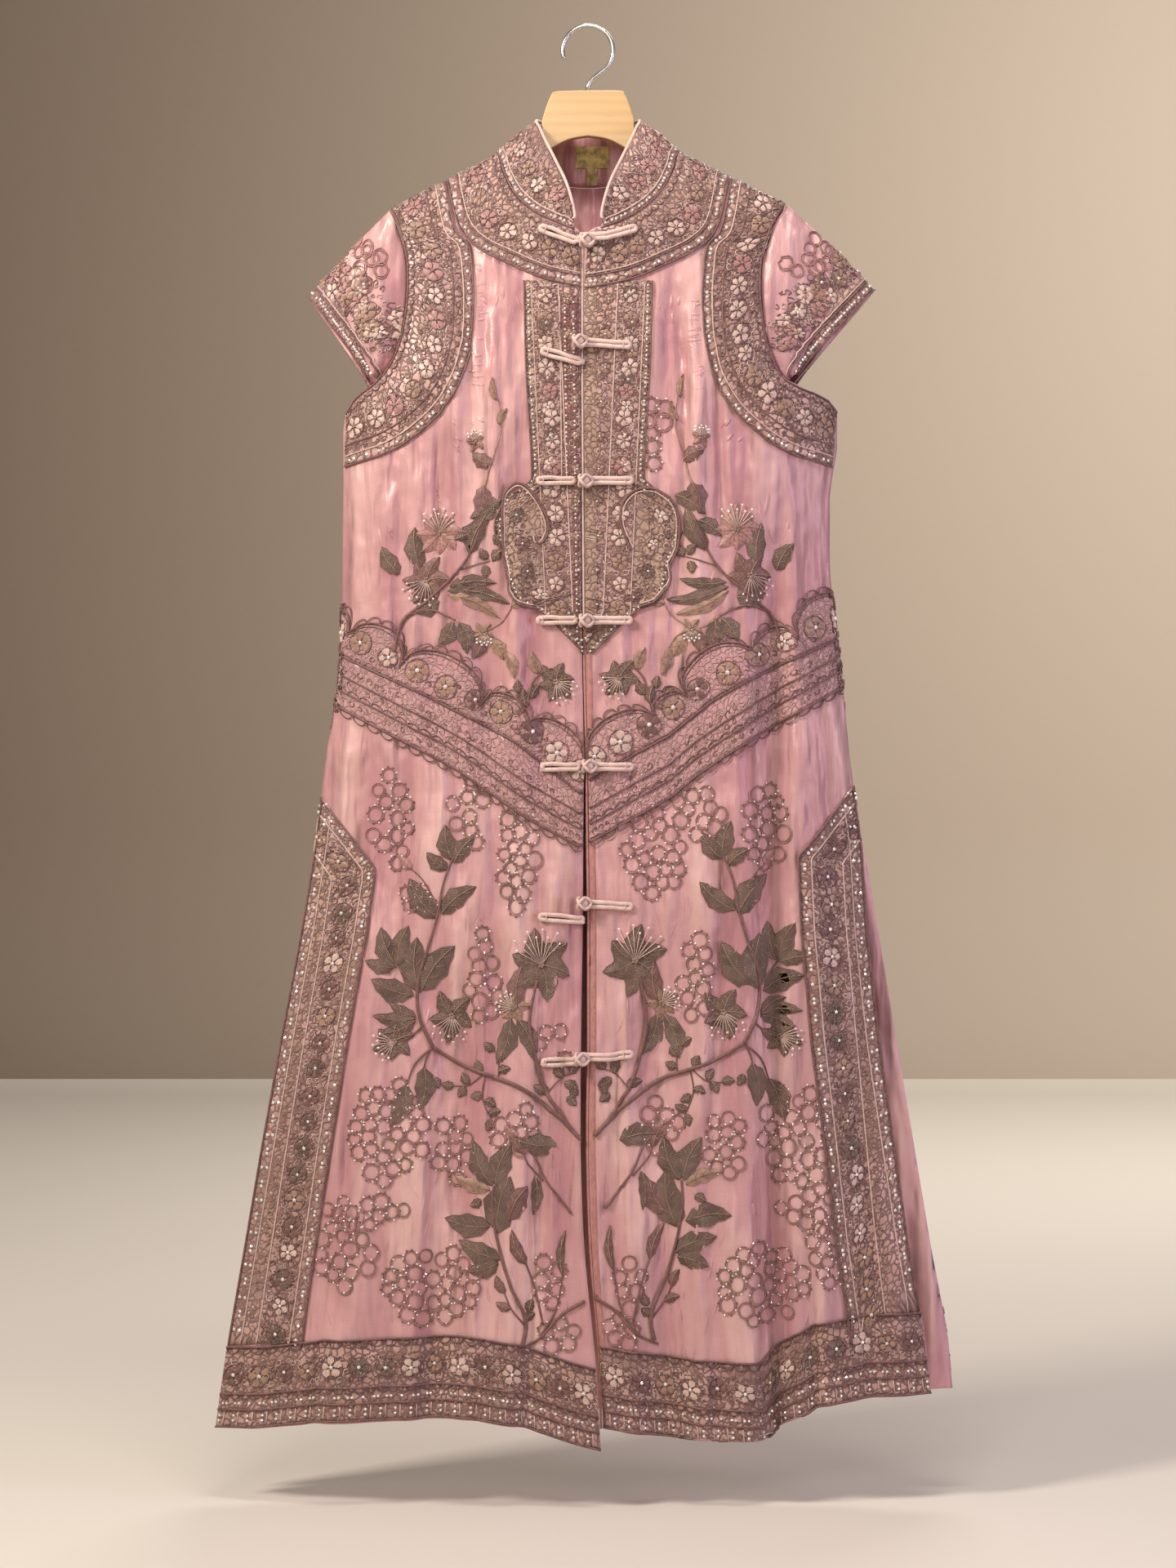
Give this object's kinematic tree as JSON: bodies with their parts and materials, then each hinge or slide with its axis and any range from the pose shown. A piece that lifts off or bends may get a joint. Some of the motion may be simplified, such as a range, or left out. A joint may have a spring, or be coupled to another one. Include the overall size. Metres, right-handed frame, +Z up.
{
  "type": "silk cheongsam robe on a wooden hanger",
  "caption": "Dusty-pink silk cheongsam robe with stand collar, cap sleeves, cord frogs and lace bands, hung on a pale wooden hanger.",
  "frame": {"origin": "inside top of the hanger's hook, where it rests on a rail", "axes": "+Z up, -Y out of the front of the robe, +X to the wearer's left, which is the right-hand side seen from the front"},
  "size_m": [0.7029, 0.122, 1.3479],
  "materials": {
    "silk": "dusty-pink silk with fine upright slubs and a soft sheen",
    "lace": "matte taupe embroidered lace with small beads",
    "cord": "satin cord and piping",
    "label": "matte olive woven label",
    "wood": "pale smooth wood, clear satin coat",
    "hook": "bright steel wire"
  },
  "bodies": {
    "root": {"back_left": "silk", "back_right": "silk", "collar": "lace", "collar_piping": "cord", "frog_1_knob": "cord", "frog_1_loop": "cord", "frog_2_knob": "cord", "frog_2_loop": "cord", "frog_3_knob": "cord", "frog_3_loop": "cord", "frog_4_knob": "cord", "frog_4_loop": "cord", "frog_5_knob": "cord", "frog_5_loop": "cord", "frog_6_knob": "cord", "frog_6_loop": "cord", "frog_7_knob": "cord", "frog_7_loop": "cord", "front_edge_binding": "cord", "front_left": "silk", "front_right": "silk", "hanger_body": "wood", "hanger_hook": "hook", "lace_armhole_back_left": "lace", "lace_armhole_back_right": "lace", "lace_armhole_front_left": "lace", "lace_armhole_front_right": "lace", "lace_chevron_back": "lace", "lace_chevron_front_left": "lace", "lace_chevron_front_right": "lace", "lace_hem_back": "lace", "lace_hem_front_left": "lace", "lace_hem_front_right": "lace", "lace_hip_front_left": "lace", "lace_hip_front_right": "lace", "lace_placket_front_left": "lace", "lace_placket_front_right": "lace", "lace_sleeve_left": "lace", "lace_sleeve_right": "lace", "lace_yoke_back": "lace", "lace_yoke_front_left": "lace", "lace_yoke_front_right": "lace", "neck_label": "label", "sleeve_left": "silk", "sleeve_right": "silk"}
  },
  "joints": []
}
